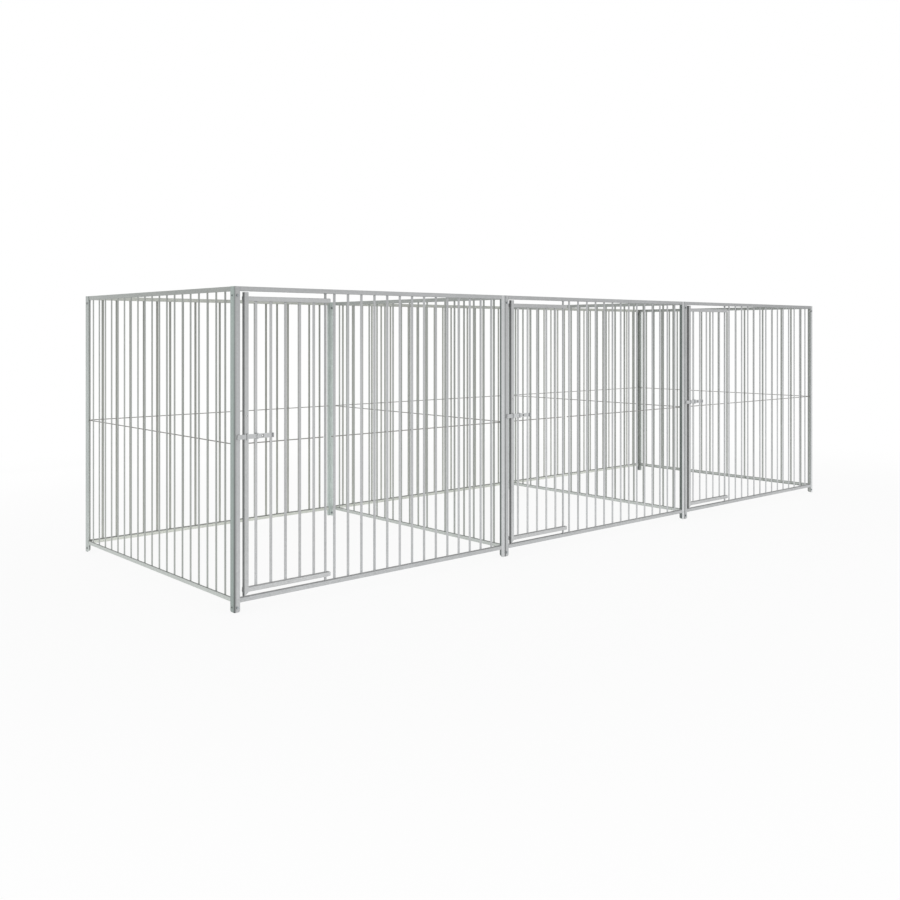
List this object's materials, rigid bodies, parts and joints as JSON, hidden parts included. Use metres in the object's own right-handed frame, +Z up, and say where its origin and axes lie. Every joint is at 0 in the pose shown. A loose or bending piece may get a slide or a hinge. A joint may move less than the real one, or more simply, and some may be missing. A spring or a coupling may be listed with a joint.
{
  "type": "outdoor dog kennel run",
  "caption": "Row of open-topped kennel bays bolted up from galvanised bar panels, each with a barred door on a round hinge bar and a slide-bolt latch.",
  "frame": {"origin": "centre of the run's footprint, on the ground under the feet", "axes": "+X along the row of bays, to the right of someone who faces the doors; +Y from the doors to the rear; +Z up"},
  "size_m": [6, 2.0198, 1.72],
  "materials": {
    "galvanised_frame": "hot-dip galvanised, satin, faint spangle",
    "galvanised_door": "hot-dip galvanised, satin, a little brighter than the frame",
    "galvanised_latch": "hot-dip galvanised, worn smooth where it slides",
    "zinc_fasteners": "bright zinc plate, slightly blue"
  },
  "bodies": {
    "frame": {"front_1_uprights": "galvanised_frame", "front_1_rails": "galvanised_frame", "front_1_bars": "galvanised_frame", "front_1_hinge_bar": "galvanised_frame", "rear_1_uprights": "galvanised_frame", "rear_1_rails": "galvanised_frame", "rear_1_bars": "galvanised_frame", "front_2_uprights": "galvanised_frame", "front_2_rails": "galvanised_frame", "front_2_bars": "galvanised_frame", "front_2_hinge_bar": "galvanised_frame", "rear_2_uprights": "galvanised_frame", "rear_2_rails": "galvanised_frame", "rear_2_bars": "galvanised_frame", "front_3_uprights": "galvanised_frame", "front_3_rails": "galvanised_frame", "front_3_bars": "galvanised_frame", "front_3_hinge_bar": "galvanised_frame", "rear_3_uprights": "galvanised_frame", "rear_3_rails": "galvanised_frame", "rear_3_bars": "galvanised_frame", "left_end_uprights": "galvanised_frame", "left_end_rails": "galvanised_frame", "left_end_bars": "galvanised_frame", "partition_1_uprights": "galvanised_frame", "partition_1_rails": "galvanised_frame", "partition_1_bars": "galvanised_frame", "partition_2_uprights": "galvanised_frame", "partition_2_rails": "galvanised_frame", "partition_2_bars": "galvanised_frame", "right_end_uprights": "galvanised_frame", "right_end_rails": "galvanised_frame", "right_end_bars": "galvanised_frame", "tie_rods": "galvanised_frame", "hinge_collars": "galvanised_frame", "latch_keepers": "galvanised_latch", "panel_bolts": "zinc_fasteners", "panel_nuts": "zinc_fasteners"},
    "door_leaf_1": {"door_1_stile": "galvanised_door", "door_1_top_rail": "galvanised_door", "door_1_bottom_rail": "galvanised_door", "door_1_bars": "galvanised_door", "door_1_tie_rod": "galvanised_door", "door_1_latch_guides": "galvanised_latch"},
    "latch_slider_1": {"slide_bolt_1": "galvanised_latch"},
    "door_leaf_2": {"door_2_stile": "galvanised_door", "door_2_top_rail": "galvanised_door", "door_2_bottom_rail": "galvanised_door", "door_2_bars": "galvanised_door", "door_2_tie_rod": "galvanised_door", "door_2_latch_guides": "galvanised_latch"},
    "latch_slider_2": {"slide_bolt_2": "galvanised_latch"},
    "door_leaf_3": {"door_3_stile": "galvanised_door", "door_3_top_rail": "galvanised_door", "door_3_bottom_rail": "galvanised_door", "door_3_bars": "galvanised_door", "door_3_tie_rod": "galvanised_door", "door_3_latch_guides": "galvanised_latch"},
    "latch_slider_3": {"slide_bolt_3": "galvanised_latch"}
  },
  "joints": [
    {"name": "door_1_swing", "type": "hinge", "parent": "frame", "child": "door_leaf_1", "pos_m": [-2.415, -0.9799, 0.885], "axis": [0, 0, -1], "range_deg": [0, 155]},
    {"name": "latch_1_slide", "type": "slide", "parent": "door_leaf_1", "child": "latch_slider_1", "axis": [-1, 0, 0], "range_m": [0, 0.047]},
    {"name": "door_2_swing", "type": "hinge", "parent": "frame", "child": "door_leaf_2", "pos_m": [-0.415, -0.9799, 0.885], "axis": [0, 0, -1], "range_deg": [0, 155]},
    {"name": "latch_2_slide", "type": "slide", "parent": "door_leaf_2", "child": "latch_slider_2", "axis": [-1, 0, 0], "range_m": [0, 0.047]},
    {"name": "door_3_swing", "type": "hinge", "parent": "frame", "child": "door_leaf_3", "pos_m": [1.585, -0.9799, 0.885], "axis": [0, 0, -1], "range_deg": [0, 155]},
    {"name": "latch_3_slide", "type": "slide", "parent": "door_leaf_3", "child": "latch_slider_3", "axis": [-1, 0, 0], "range_m": [0, 0.047]}
  ]
}
